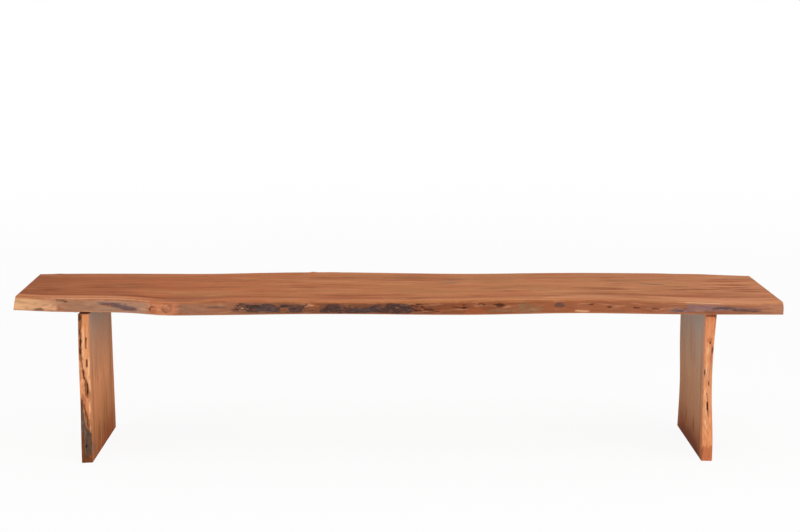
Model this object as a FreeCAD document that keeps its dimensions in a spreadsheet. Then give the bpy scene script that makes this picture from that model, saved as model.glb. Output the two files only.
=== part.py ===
"""Live-edge dining bench: one thick seat slab on two upright slab legs.

Each leg hangs from a flat steel plate: wood screws hold the plate to the leg's end grain,
and hexagon bolts with washers hold it to threaded inserts in the underside of the seat.
X runs along the seat, the front live edge faces -Y, Z is up and the floor is at Z = 0.
"""
import FreeCAD, Part
import math
import os
import Sketcher

SIZES = [
    ("seat_length", 2126, "sawn end to sawn end, along the back"),
    ("left_end_skew", 10, "left end out of square: its front corner is set in by this"),
    ("seat_height", 457, "floor to sitting surface"),
    ("seat_thickness", 34, "seat slab"),
    ("front_reach", 276, "middle line to the foremost point of the seat"),
    ("back_reach", 276, "middle line to the rearmost point of the seat"),
    ("seat_wander", 140, "full unit of the seat's live-edge set-in"),
    ("seat_bulge", 3, "how far a live edge swells between its two arrises"),
    ("seat_ease", 2, "bevel of the seat's long and end arrises"),
    ("left_leg_inset", 195, "seat end to outer face of the left leg"),
    ("right_leg_inset", 174, "seat end to outer face of the right leg"),
    ("leg_thickness", 30, "leg slab"),
    ("leg_front_setback", 54, "foremost point of the seat to that of a leg"),
    ("leg_back_setback", 92, "rearmost point of the seat to that of a leg"),
    ("leg_wander", 50, "full unit of a leg's live-edge set-in"),
    ("leg_ease", 1.5, "bevel of a leg's arrises"),
    ("saw_spare", 6, "leg blank longer than the leg, before foot and top are sawn square"),
    ("plate_length", 290, "mounting plate along Y"),
    ("plate_width", 100, "mounting plate along X"),
    ("plate_thickness", 4, "mounting plate"),
    ("plate_corner", 10, "corner radius of the plate"),
    ("bolt_diameter", 8, "M8 thread"),
    ("bolt_length", 25, "under the head"),
    ("bolt_across_flats", 13, "hexagon head"),
    ("bolt_head_height", 5.3, "hexagon head"),
    ("bolt_bevel", 0.8, "chamfer on the head's rim and the thread's tip"),
    ("bolt_edge_distance", 15, "plate's long side to bolt axis"),
    ("bolt_end_distance", 30, "plate's short side to the nearest bolt axis"),
    ("bolt_hole_clearance", 1, "plate and washer holes over the thread"),
    ("flat_washer_diameter", 16, "outer"),
    ("flat_washer_thickness", 1.6, ""),
    ("spring_washer_diameter", 14.8, "outer"),
    ("spring_washer_thickness", 2, ""),
    ("spring_washer_gap", 1.5, "width of the split"),
    ("insert_diameter", 12, "threaded insert, outer"),
    ("insert_length", 20, "threaded insert"),
    ("insert_bevel", 0.6, "chamfer on the insert's leading rim"),
    ("insert_hole_spare", 2, "pocket deeper than the insert"),
    ("thread_clearance", 0.2, "on diameter, between mating screw and hole"),
    ("screw_diameter", 5, "wood screw shank"),
    ("screw_length", 60, "with the countersunk head"),
    ("screw_head_diameter", 9.7, "countersunk head"),
    ("screw_tip_length", 8, "tapered point"),
    ("screw_end_distance", 25, "plate's short side to the nearest screw axis"),
    ("screw_stagger", 7, "screw axes either side of the leg's middle plane"),
    ("screw_hole_clearance", 0.6, "plate hole over the shank, on diameter"),
    ("screw_hole_spare", 1, "pilot hole deeper than the screw"),
]
BOLTS_PER_ROW = 3
SCREWS_PER_PLATE = 6
# A long live edge is drawn as curves of at most this many spans, so that the slab's volume measures true.
SPANS_PER_CURVE = 5

# The seat's live edges, read along its length as shares of half the length.
# Each edge is set in from the seat's furthest reach by these shares of seat_wander.
SEAT_STATIONS = [-1, -.891, -.791, -.672, -.593, -.533, -.453, -.214, .005, .224, .463, .662, .771, .9, 1]
SEAT_FRONT_TOP = [.94, .74, .72, .54, .26, .23, .40, .34, .33, .42, .56, .43, .13, 0, .21]
SEAT_FRONT_UNDER = [.74, .56, .49, .40, .16, .14, .17, .28, .23, .19, .35, .25, .20, .18, .17]
SEAT_BACK_TOP = [.31, .24, .24, .26, .28, .29, .23, .08, .19, .30, .19, .22, .27, .41, .57]
SEAT_BACK_UNDER = [.23, .16, .15, .19, .20, .20, .14, 0, .11, .21, .12, .13, .20, .34, .49]

# The legs' live edges, read from the floor up as shares of the leg's height.
# Each edge is set in from the leg's furthest reach by these shares of leg_wander.
LEG_STATIONS = [0, .2, .4, .6, .8, 1]
LEFT_LEG_EDGES = {
    "outer_front": [0, 0, .10, 0, .02, .16],
    "inner_front": [.06, .06, .08, .04, .06, .18],
    "inner_back": [.26, .36, .50, .62, .74, .84],
    "outer_back": [.32, .40, .52, .68, .78, .86],
}
RIGHT_LEG_EDGES = {
    "outer_front": [.26, .24, .76, .86, .54, 0],
    "inner_front": [.24, .25, .28, .28, .25, .22],
    "inner_back": [0, .36, .46, .14, .12, .18],
    "outer_back": [.10, .34, .42, .24, .20, .22],
}

doc = FreeCAD.newDocument("dining_bench")
sheet = doc.addObject("Spreadsheet::Sheet", "sizes")
for row, (alias, value, note) in enumerate(SIZES, start=1):
    sheet.set(f"A{row}", alias)
    sheet.set(f"B{row}", str(value))
    sheet.set(f"C{row}", note)
    sheet.setAlias(f"B{row}", alias)
doc.recompute()


def size(alias):
    return float(getattr(sheet, alias))


def new_body(label):
    body = doc.addObject("PartDesign::Body", label)
    body.Label = label
    return body


def new_sketch(body, name, role, level="0"):
    """A sketch on one of the body's own planes, raised along its normal by an expression."""
    plane = next(item for item in body.Origin.OriginFeatures if item.Role == role)
    sketch = body.newObject("Sketcher::SketchObject", name)
    sketch.AttachmentSupport = [(plane, "")]
    sketch.MapMode = "FlatFace"
    sketch.setExpression("AttachmentOffset.Base.z", level)
    return sketch


def bind(sketch, kind, geometry, value, expression):
    """A dimension of the sketch, driven by the sheet."""
    index = sketch.addConstraint(Sketcher.Constraint(kind, *geometry, value))
    sketch.setExpression(f"Constraints[{index}]", expression)


def add_circle(sketch, x, y, diameter):
    """A full circle; x, y and diameter are (value, expression) pairs."""
    centre = FreeCAD.Vector(x[0], y[0], 0)
    circle = sketch.addGeometry(Part.Circle(centre, FreeCAD.Vector(0, 0, 1), diameter[0] / 2))
    bind(sketch, "DistanceX", (-1, 1, circle, 3), x[0], x[1])
    bind(sketch, "DistanceY", (-1, 1, circle, 3), y[0], y[1])
    bind(sketch, "Diameter", (circle,), diameter[0], diameter[1])


def add_rectangle(sketch, low_x, low_y, width, depth):
    """An upright rectangle; its low corner and sides are (value, expression) pairs."""
    corners = [FreeCAD.Vector(low_x[0] + right * width[0], low_y[0] + up * depth[0], 0)
               for right, up in ((0, 0), (1, 0), (1, 1), (0, 1))]
    sides = [sketch.addGeometry(Part.LineSegment(corners[number], corners[(number + 1) % 4]))
             for number in range(4)]
    for number, direction in enumerate(("Horizontal", "Vertical", "Horizontal", "Vertical")):
        sketch.addConstraint(Sketcher.Constraint(direction, sides[number]))
        sketch.addConstraint(Sketcher.Constraint(
            "Coincident", sides[number], 2, sides[(number + 1) % 4], 1))
    bind(sketch, "DistanceX", (-1, 1, sides[0], 1), *low_x)
    bind(sketch, "DistanceY", (-1, 1, sides[0], 1), *low_y)
    bind(sketch, "DistanceX", (sides[0], 1, sides[0], 2), *width)
    bind(sketch, "DistanceY", (sides[1], 1, sides[1], 2), *depth)


def add_live_edge(sketch, points):
    """One smooth edge through its stations, drawn as a few curves that run into each other."""
    whole = Part.BSplineCurve()
    whole.interpolate(points)
    places = whole.getKnots()
    breaks = [*places[:-1:SPANS_PER_CURVE], places[-1]]
    for start, end in zip(breaks, breaks[1:]):
        curve = whole.copy()
        curve.segment(start, end)
        sketch.addGeometry(curve)


def add_outline(sketch, forward, backward):
    """A closed outline: one live edge out, a straight cut, the other live edge back."""
    add_live_edge(sketch, forward)
    sketch.addGeometry(Part.LineSegment(forward[-1], backward[0]))
    add_live_edge(sketch, backward)
    sketch.addGeometry(Part.LineSegment(backward[-1], forward[0]))


def add_loft(body, sketches):
    loft = body.newObject("PartDesign::AdditiveLoft", body.Label + "_loft")
    loft.Profile = (sketches[0], [""])
    loft.Sections = [(sketch, [""]) for sketch in sketches[1:]]
    loft.Ruled = True
    doc.recompute()
    return loft


def add_pocket(body, sketch, depth, upward=False):
    before = body.Shape.Volume
    pocket = body.newObject("PartDesign::Pocket", sketch.Name + "_pocket")
    pocket.Profile = sketch
    pocket.setExpression("Length", depth)
    pocket.Reversed = upward
    doc.recompute()
    if body.Shape.Volume >= before:
        raise RuntimeError(f"{pocket.Name} removes nothing from {body.Label}")
    return pocket


def add_pad(body, sketch, length):
    pad = body.newObject("PartDesign::Pad", sketch.Name + "_pad")
    pad.Profile = sketch
    pad.setExpression("Length", length)
    doc.recompute()
    return pad


def edge_names(shape, wanted):
    return [f"Edge{number}" for number, edge in enumerate(shape.Edges, start=1) if wanted(edge)]


def ease(body, kind, names, amount):
    """A rounding or a chamfer of the named edges of the body so far."""
    base = body.Tip
    feature = body.newObject(f"PartDesign::{kind}", f"{body.Label}_{kind.lower()}")
    feature.Base = (base, names)
    feature.setExpression("Radius" if kind == "Fillet" else "Size", amount)
    doc.recompute()
    return feature


def middle_height(edge):
    return edge.valueAt((edge.FirstParameter + edge.LastParameter) / 2).z


def lies_at(edge, level):
    """True where the whole edge lies in the level plane."""
    heights = [vertex.Point.z for vertex in edge.Vertexes] + [middle_height(edge)]
    return all(abs(height - level) < 1e-4 for height in heights)


UNDERSIDE = "sizes.seat_height - sizes.seat_thickness"
LEG_TOP = f"{UNDERSIDE} - sizes.plate_thickness"
LEG_FRONT = "(sizes.front_reach - sizes.leg_front_setback)"
LEG_BACK = "(sizes.back_reach - sizes.leg_back_setback)"
LEG_MIDDLE = f"({LEG_BACK} - {LEG_FRONT}) / 2"
LEG_AXIS = {
    "left": "-sizes.seat_length / 2 + sizes.left_leg_inset + sizes.leg_thickness / 2",
    "right": "sizes.seat_length / 2 - sizes.right_leg_inset - sizes.leg_thickness / 2",
}
underside = size("seat_height") - size("seat_thickness")
leg_top = underside - size("plate_thickness")
leg_front = size("front_reach") - size("leg_front_setback")
leg_back = size("back_reach") - size("leg_back_setback")
leg_middle = (leg_back - leg_front) / 2
leg_axis = {
    "left": -size("seat_length") / 2 + size("left_leg_inset") + size("leg_thickness") / 2,
    "right": size("seat_length") / 2 - size("right_leg_inset") - size("leg_thickness") / 2,
}


def bolt_places(side):
    """Bolt axes of one leg, each as an (x, y) pair of (value, expression) pairs."""
    reach_x = size("plate_width") / 2 - size("bolt_edge_distance")
    reach_y = size("plate_length") / 2 - size("bolt_end_distance")
    places = []
    for row in (-1, 1):
        for number in range(BOLTS_PER_ROW):
            share = 2 * number / (BOLTS_PER_ROW - 1) - 1
            x = leg_axis[side] + row * reach_x
            y = leg_middle + share * reach_y
            x_rule = f"{LEG_AXIS[side]} + {row} * (sizes.plate_width / 2 - sizes.bolt_edge_distance)"
            y_rule = f"{LEG_MIDDLE} + {share} * (sizes.plate_length / 2 - sizes.bolt_end_distance)"
            places.append(((x, x_rule), (y, y_rule)))
    return places


def screw_places(side):
    """Screw axes of one leg, staggered either side of its middle plane."""
    reach_y = size("plate_length") / 2 - size("screw_end_distance")
    places = []
    for number in range(SCREWS_PER_PLATE):
        share = round(2 * number / (SCREWS_PER_PLATE - 1) - 1, 6)
        turn = 1 if number % 2 else -1
        x = leg_axis[side] + turn * size("screw_stagger")
        y = leg_middle + share * reach_y
        x_rule = f"{LEG_AXIS[side]} + {turn} * sizes.screw_stagger"
        y_rule = f"{LEG_MIDDLE} + {share} * (sizes.plate_length / 2 - sizes.screw_end_distance)"
        places.append(((x, x_rule), (y, y_rule)))
    return places


def make_seat():
    """One slab: natural edges front and back, sawn ends, pockets for the inserts below."""
    body = new_body("seat_slab")
    half = size("seat_length") / 2
    wander = size("seat_wander")

    def outline(name, level, front_shares, back_shares, swell):
        """One level of the slab; a negative swell draws the ends in as well, as an eased arris."""
        reach_x = half + min(swell, 0)
        front_line = -size("front_reach") - swell
        back_line = size("back_reach") + swell
        front = [FreeCAD.Vector(reach_x * station, front_line + wander * share, 0)
                 for station, share in zip(SEAT_STATIONS, front_shares)]
        back = [FreeCAD.Vector(reach_x * station, back_line - wander * share, 0)
                for station, share in zip(SEAT_STATIONS, back_shares)]
        front[0].x += size("left_end_skew")
        sketch = new_sketch(body, name, "XY_Plane", level)
        add_outline(sketch, front, back[::-1])
        return sketch

    front_middle = [(low + top) / 2 for low, top in zip(SEAT_FRONT_UNDER, SEAT_FRONT_TOP)]
    back_middle = [(low + top) / 2 for low, top in zip(SEAT_BACK_UNDER, SEAT_BACK_TOP)]
    eased = -size("seat_ease")
    add_loft(body, [
        outline("seat_under", UNDERSIDE, SEAT_FRONT_UNDER, SEAT_BACK_UNDER, eased),
        outline("seat_low", f"{UNDERSIDE} + sizes.seat_ease", SEAT_FRONT_UNDER, SEAT_BACK_UNDER, 0),
        outline("seat_waist", f"{UNDERSIDE} + sizes.seat_thickness / 2",
                front_middle, back_middle, size("seat_bulge")),
        outline("seat_high", "sizes.seat_height - sizes.seat_ease", SEAT_FRONT_TOP, SEAT_BACK_TOP, 0),
        outline("seat_top", "sizes.seat_height", SEAT_FRONT_TOP, SEAT_BACK_TOP, eased),
    ])

    pockets = new_sketch(body, "insert_pockets", "XY_Plane", UNDERSIDE)
    pocket_diameter = (size("insert_diameter") + size("thread_clearance"),
                       "sizes.insert_diameter + sizes.thread_clearance")
    for side in LEG_AXIS:
        for x, y in bolt_places(side):
            add_circle(pockets, x, y, pocket_diameter)
    add_pocket(body, pockets, "sizes.insert_length + sizes.insert_hole_spare", upward=True)
    return body


def make_leg(side, edges):
    """One upright slab: natural edges front and back, sawn foot and top, pilot holes on top."""
    body = new_body(f"{side}_leg_slab")
    wander = size("leg_wander")
    spare = size("saw_spare")
    sign = -1 if side == "left" else 1

    def outline(face, name, inset, step):
        """One layer of the slab, drawn in by inset and lying step inside the named face."""
        turn = sign if face == "outer" else -sign
        level = f"{LEG_AXIS[side]} + {turn} * (sizes.leg_thickness / 2 - {step})"
        heights = [(leg_top + 2 * spare) * station - spare for station in LEG_STATIONS]
        front = [FreeCAD.Vector(inset - leg_front + wander * share, height, 0)
                 for height, share in zip(heights, edges[f"{face}_front"])]
        back = [FreeCAD.Vector(leg_back - inset - wander * share, height, 0)
                for height, share in zip(heights, edges[f"{face}_back"])]
        sketch = new_sketch(body, f"{side}_leg_{name}", "YZ_Plane", level)
        add_outline(sketch, front, back[::-1])
        return sketch

    eased = size("leg_ease")
    add_loft(body, [
        outline("outer", "outer_face", eased, "0"),
        outline("outer", "outer_arris", 0, "sizes.leg_ease"),
        outline("inner", "inner_arris", 0, "sizes.leg_ease"),
        outline("inner", "inner_face", eased, "0"),
    ])

    for end, level in (("foot", "0"), ("top", LEG_TOP)):
        saw = new_sketch(body, f"{side}_leg_{end}_saw", "XY_Plane", level)
        add_rectangle(saw,
                      (leg_axis[side] - size("leg_thickness"), f"{LEG_AXIS[side]} - sizes.leg_thickness"),
                      (-leg_front - spare, f"-{LEG_FRONT} - sizes.saw_spare"),
                      (2 * size("leg_thickness"), "2 * sizes.leg_thickness"),
                      (leg_front + leg_back + 2 * spare, f"{LEG_FRONT} + {LEG_BACK} + 2 * sizes.saw_spare"))
        add_pocket(body, saw, "2 * sizes.saw_spare", upward=end == "top")

    pilots = new_sketch(body, f"{side}_leg_pilots", "XY_Plane", LEG_TOP)
    pilot_diameter = (size("screw_diameter") + size("thread_clearance"),
                      "sizes.screw_diameter + sizes.thread_clearance")
    for x, y in screw_places(side):
        add_circle(pilots, x, y, pilot_diameter)
    add_pocket(body, pilots, "sizes.screw_length - sizes.plate_thickness + sizes.screw_hole_spare")
    return body


def make_plate(side):
    """A flat steel plate with round corners, plain bolt holes and countersunk screw holes."""
    body = new_body(f"{side}_mounting_plate")
    blank = new_sketch(body, f"{side}_plate_blank", "XY_Plane", LEG_TOP)
    width = size("plate_width")
    length = size("plate_length")
    add_rectangle(blank,
                  (leg_axis[side] - width / 2, f"{LEG_AXIS[side]} - sizes.plate_width / 2"),
                  (leg_middle - length / 2, f"{LEG_MIDDLE} - sizes.plate_length / 2"),
                  (width, "sizes.plate_width"), (length, "sizes.plate_length"))
    add_pad(body, blank, "sizes.plate_thickness")
    uprights = edge_names(body.Shape, lambda edge: abs(edge.tangentAt(edge.FirstParameter).z) > .99)
    ease(body, "Fillet", uprights, "sizes.plate_corner")

    holes = new_sketch(body, f"{side}_plate_holes", "XY_Plane", UNDERSIDE)
    bolt_hole = (size("bolt_diameter") + size("bolt_hole_clearance"),
                 "sizes.bolt_diameter + sizes.bolt_hole_clearance")
    screw_hole = (size("screw_diameter") + size("screw_hole_clearance"),
                  "sizes.screw_diameter + sizes.screw_hole_clearance")
    for place_x, place_y in bolt_places(side):
        add_circle(holes, place_x, place_y, bolt_hole)
    for place_x, place_y in screw_places(side):
        add_circle(holes, place_x, place_y, screw_hole)
    add_pocket(body, holes, "sizes.plate_thickness")

    def is_screw_mouth(edge):
        round_edge = isinstance(edge.Curve, Part.Circle)
        return round_edge and lies_at(edge, underside) and abs(2 * edge.Curve.Radius - screw_hole[0]) < 1e-4

    mouths = edge_names(body.Shape, is_screw_mouth)
    ease(body, "Chamfer", mouths, "(sizes.screw_head_diameter - sizes.screw_diameter) / 2")
    return body


def make_ring(label, outer, inner, thickness, split=None):
    """A washer or bush lying on Z = 0; outer, inner and split are aliases or expressions."""
    body = new_body(label)
    ring = new_sketch(body, f"{label}_ring", "XY_Plane")
    for value, rule in (outer, inner):
        add_circle(ring, (0, "0"), (0, "0"), (value, rule))
    add_pad(body, ring, thickness)
    if split:
        slot = new_sketch(body, f"{label}_split", "XY_Plane", thickness)
        add_rectangle(slot, (0, "0"), (-size(split) / 2, f"-sizes.{split} / 2"),
                      outer, (size(split), f"sizes.{split}"))
        add_pocket(body, slot, thickness)
    return body


def make_bolt():
    """A hexagon bolt, its bearing face at Z = 0, thread upward and head below."""
    body = new_body("seat_bolt")
    head = new_sketch(body, "bolt_head", "XY_Plane", "-sizes.bolt_head_height")
    corner = size("bolt_across_flats") / math.sqrt(3)
    points = [FreeCAD.Vector(corner * math.cos(math.radians(60 * number)),
                             corner * math.sin(math.radians(60 * number)), 0)
              for number in range(6)]
    for number in range(6):
        head.addGeometry(Part.LineSegment(points[number], points[(number + 1) % 6]))
    add_pad(body, head, "sizes.bolt_head_height")
    shank = new_sketch(body, "bolt_shank", "XY_Plane")
    add_circle(shank, (0, "0"), (0, "0"), (size("bolt_diameter"), "sizes.bolt_diameter"))
    add_pad(body, shank, "sizes.bolt_length")
    tip = edge_names(body.Shape, lambda edge: lies_at(edge, size("bolt_length")))
    rim = edge_names(body.Shape, lambda edge: lies_at(edge, -size("bolt_head_height")))
    ease(body, "Chamfer", tip + rim, "sizes.bolt_bevel")
    return body


def make_screw():
    """A countersunk wood screw, its head's flat at Z = 0 and its point downward."""
    body = new_body("plate_screw")
    profile = new_sketch(body, "screw_profile", "XZ_Plane")
    shank = size("screw_diameter") / 2
    head = size("screw_head_diameter") / 2
    length = size("screw_length")
    points = [(0, 0), (head, 0), (shank, shank - head),
              (shank, size("screw_tip_length") - length), (0, -length)]
    outline = [FreeCAD.Vector(x, y, 0) for x, y in points]
    for number in range(len(outline)):
        profile.addGeometry(Part.LineSegment(outline[number], outline[(number + 1) % len(outline)]))
    turned = body.newObject("PartDesign::Revolution", "screw_turned")
    turned.Profile = profile
    turned.ReferenceAxis = (profile, ["V_Axis"])
    turned.Angle = 360
    doc.recompute()
    return body


def make_group(label, pattern, places, level):
    """Like fasteners of one leg, kept together as separate solids in one node."""
    group = doc.addObject("Part::Feature", label)
    group.Label = label
    solids = []
    for x, y in places:
        solid = pattern.Shape.copy()
        solid.translate(FreeCAD.Vector(x[0], y[0], level))
        solids.append(solid)
    group.Shape = Part.makeCompound(solids)
    group.Placement = FreeCAD.Placement()
    return group


nodes = [make_seat(), make_leg("left", LEFT_LEG_EDGES), make_leg("right", RIGHT_LEG_EDGES)]

bolt_hole_size = (size("bolt_diameter") + size("bolt_hole_clearance"),
                  "sizes.bolt_diameter + sizes.bolt_hole_clearance")
flat_washer = make_ring(
    "flat_washer", (size("flat_washer_diameter"), "sizes.flat_washer_diameter"),
    bolt_hole_size, "sizes.flat_washer_thickness")
spring_washer = make_ring(
    "spring_washer", (size("spring_washer_diameter"), "sizes.spring_washer_diameter"),
    bolt_hole_size, "sizes.spring_washer_thickness", split="spring_washer_gap")
insert = make_ring(
    "seat_insert", (size("insert_diameter"), "sizes.insert_diameter"),
    (size("bolt_diameter") + size("thread_clearance"), "sizes.bolt_diameter + sizes.thread_clearance"),
    "sizes.insert_length")
leading_rim = edge_names(insert.Shape, lambda edge: lies_at(edge, size("insert_length"))
                         and 2 * edge.Curve.Radius > size("bolt_diameter") + size("thread_clearance") + .1)
ease(insert, "Chamfer", leading_rim, "sizes.insert_bevel")
bolt = make_bolt()
screw = make_screw()
doc.recompute()

flat_washer_level = leg_top - size("flat_washer_thickness")
spring_washer_level = flat_washer_level - size("spring_washer_thickness")
for side in LEG_AXIS:
    nodes.append(make_plate(side))
    nodes.append(make_group(f"{side}_plate_screws", screw, screw_places(side), underside))
    nodes.append(make_group(f"{side}_seat_inserts", insert, bolt_places(side), underside))
    nodes.append(make_group(f"{side}_flat_washers", flat_washer, bolt_places(side), flat_washer_level))
    nodes.append(make_group(f"{side}_spring_washers", spring_washer, bolt_places(side), spring_washer_level))
    nodes.append(make_group(f"{side}_seat_bolts", bolt, bolt_places(side), spring_washer_level))

doc.recompute()
for item in doc.Objects:
    if any(word in item.State for word in ("Invalid", "Error")):
        raise RuntimeError(f"{item.Name} failed: {item.State}")
for node in nodes:
    if node.Shape.isNull() or not node.Shape.isValid() or not node.Shape.Solids:
        raise RuntimeError(f"{node.Label} has no valid shape")

os.makedirs("parts", exist_ok=True)
for node in nodes:
    node.Shape.exportStep(f"parts/{node.Label}.step")
    box = node.Shape.optimalBoundingBox()
    lengths = f"{box.XLength:.1f} x {box.YLength:.1f} x {box.ZLength:.1f} mm"
    print(f"{node.Label}: {len(node.Shape.Solids)} solid(s), {lengths}, Y {box.YMin:.1f} to {box.YMax:.1f}")
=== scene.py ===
import math

import bpy
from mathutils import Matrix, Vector, noise
from mathutils.bvhtree import BVHTree


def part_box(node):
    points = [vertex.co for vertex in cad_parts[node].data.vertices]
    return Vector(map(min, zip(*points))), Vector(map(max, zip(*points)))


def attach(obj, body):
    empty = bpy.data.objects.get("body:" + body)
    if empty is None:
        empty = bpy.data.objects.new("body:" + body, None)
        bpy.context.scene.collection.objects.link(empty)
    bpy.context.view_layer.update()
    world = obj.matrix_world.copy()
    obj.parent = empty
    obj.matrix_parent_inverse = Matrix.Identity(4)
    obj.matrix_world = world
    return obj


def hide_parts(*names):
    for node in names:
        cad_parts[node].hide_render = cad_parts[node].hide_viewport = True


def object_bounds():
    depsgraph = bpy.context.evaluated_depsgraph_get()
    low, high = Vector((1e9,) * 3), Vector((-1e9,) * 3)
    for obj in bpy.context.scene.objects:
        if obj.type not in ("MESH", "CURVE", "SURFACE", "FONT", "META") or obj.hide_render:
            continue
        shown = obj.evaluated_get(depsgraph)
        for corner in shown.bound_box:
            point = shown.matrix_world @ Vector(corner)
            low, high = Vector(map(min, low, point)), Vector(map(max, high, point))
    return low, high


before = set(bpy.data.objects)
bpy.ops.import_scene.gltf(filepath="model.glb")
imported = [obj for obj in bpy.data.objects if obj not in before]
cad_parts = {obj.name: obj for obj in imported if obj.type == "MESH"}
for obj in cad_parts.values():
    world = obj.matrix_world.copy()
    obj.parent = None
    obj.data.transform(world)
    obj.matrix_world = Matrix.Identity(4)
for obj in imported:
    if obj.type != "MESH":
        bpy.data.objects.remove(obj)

cad_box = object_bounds()

# Seat slab
# One plank sawn through a broad trunk and left with its natural front and back edges, of solid hardwood
# in satin lacquer. The right end is sawn square and the left a little askew. Bark clings to hollows in
# the front edge.
MM = 0.001
STATION_STEP = 2.5 * MM
EDGE_SPANS = 24
EDGE_ROWS = [row / EDGE_SPANS for row in range(EDGE_SPANS + 1)]
NEAR_EDGE = [2.5 * MM, 6 * MM, 11 * MM, 19 * MM, 32 * MM, 50 * MM, 75 * MM]
MIDDLE_SPANS = 8
SETTLE_REACH = 10
SOLID_BEVEL = 2.2 * MM
SKEW_FADE = 150 * MM


def lerp(low, high, share):
    return low + (high - low) * share


def clamp(value, low=0.0, high=1.0):
    return max(low, min(high, value))


def smooth(share):
    share = clamp(share)
    return share * share * (3 - 2 * share)


def settled(values, reach, passes=2):
    """The same run of values with its small steps averaged out."""
    for _ in range(passes):
        total = [0.0]
        for value in values:
            total.append(total[-1] + value)
        last = len(values) - 1
        spans = [(max(0, i - reach, 2 * i - last), min(last, i + reach, 2 * i))
                 for i in range(len(values))]
        values = [(total[high + 1] - total[low]) / (high + 1 - low) for low, high in spans]
    return values


def natural_edges(node, upright, along, through):
    """Where the solid's front and back edges lie, at each station along it and each row through it."""
    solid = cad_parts[node]
    corners = [solid.matrix_world @ vertex.co for vertex in solid.data.vertices]
    tree = BVHTree.FromPolygons(corners, [face.vertices[:] for face in solid.data.polygons])
    outside = 1.0

    def reach(place, level, way):
        start = (level, -way * outside, place) if upright else (place, -way * outside, level)
        return tree.ray_cast(Vector(start), Vector((0, way, 0)))[0].y

    edges = []
    for way in (1, -1):
        rows = [settled([reach(place, level, way) for place in along], SETTLE_REACH) for level in through]
        edges.append([list(station) for station in zip(*rows)])
    return edges


def patch(marks, place, row):
    """How strongly a list of given spots covers one place on a natural edge.

    A spot is (place along the edge in mm, share of the edge's height, half length in mm, half height).
    """
    strength = 0.0
    for centre, level, half_length, half_height in marks:
        run = (place / MM - centre) / half_length
        rise = (row - level) / half_height
        if abs(run) < 1.6 and abs(rise) < 1.6:
            ragged = .55 * noise.noise(Vector((place * 60, row * 5, centre)))
            ragged += .25 * noise.noise(Vector((place * 200, row * 14, centre)))
            strength = max(strength, smooth((1.1 - math.hypot(run, rise) + ragged) / .4))
    return strength


def band(outline, place, row):
    """How strongly a ragged patch covers one place on a natural edge.

    Its outline is read along the edge as (place in mm, lower limit, upper limit), the limits as shares of
    the edge's height.
    """
    spot = place / MM
    for (start, low, high), (end, next_low, next_high) in zip(outline, outline[1:]):
        if start <= spot < end:
            share = (spot - start) / (end - start)
            low = lerp(low, next_low, share)
            high = lerp(high, next_high, share)
            ragged = .13 * noise.noise(Vector((place * 32, row * 13, start)))
            ragged += .07 * noise.noise(Vector((place * 120, row * 24, start)))
            margin = min(row - low, high - row) + ragged
            return smooth(margin / .10 + .5) * smooth((high - low) / .08)
    return 0.0


def line(marks, place, row, edge_height):
    """Like patch, for thin cracks given as (start mm, start share, end mm, end share, width in mm)."""
    strength = 0.0
    here = Vector((place / MM, row * edge_height / MM))
    for start, start_row, end, end_row, width in marks:
        first = Vector((start, start_row * edge_height / MM))
        span = Vector((end, end_row * edge_height / MM)) - first
        share = clamp((here - first).dot(span) / span.length_squared)
        wander = noise.noise(Vector((place * 70, start, 0)))
        gap = abs((here - first - span * share).length + wander)
        strength = max(strength, smooth(1.4 - gap / (width * lerp(1.1, .7, share))))
    return strength


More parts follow.
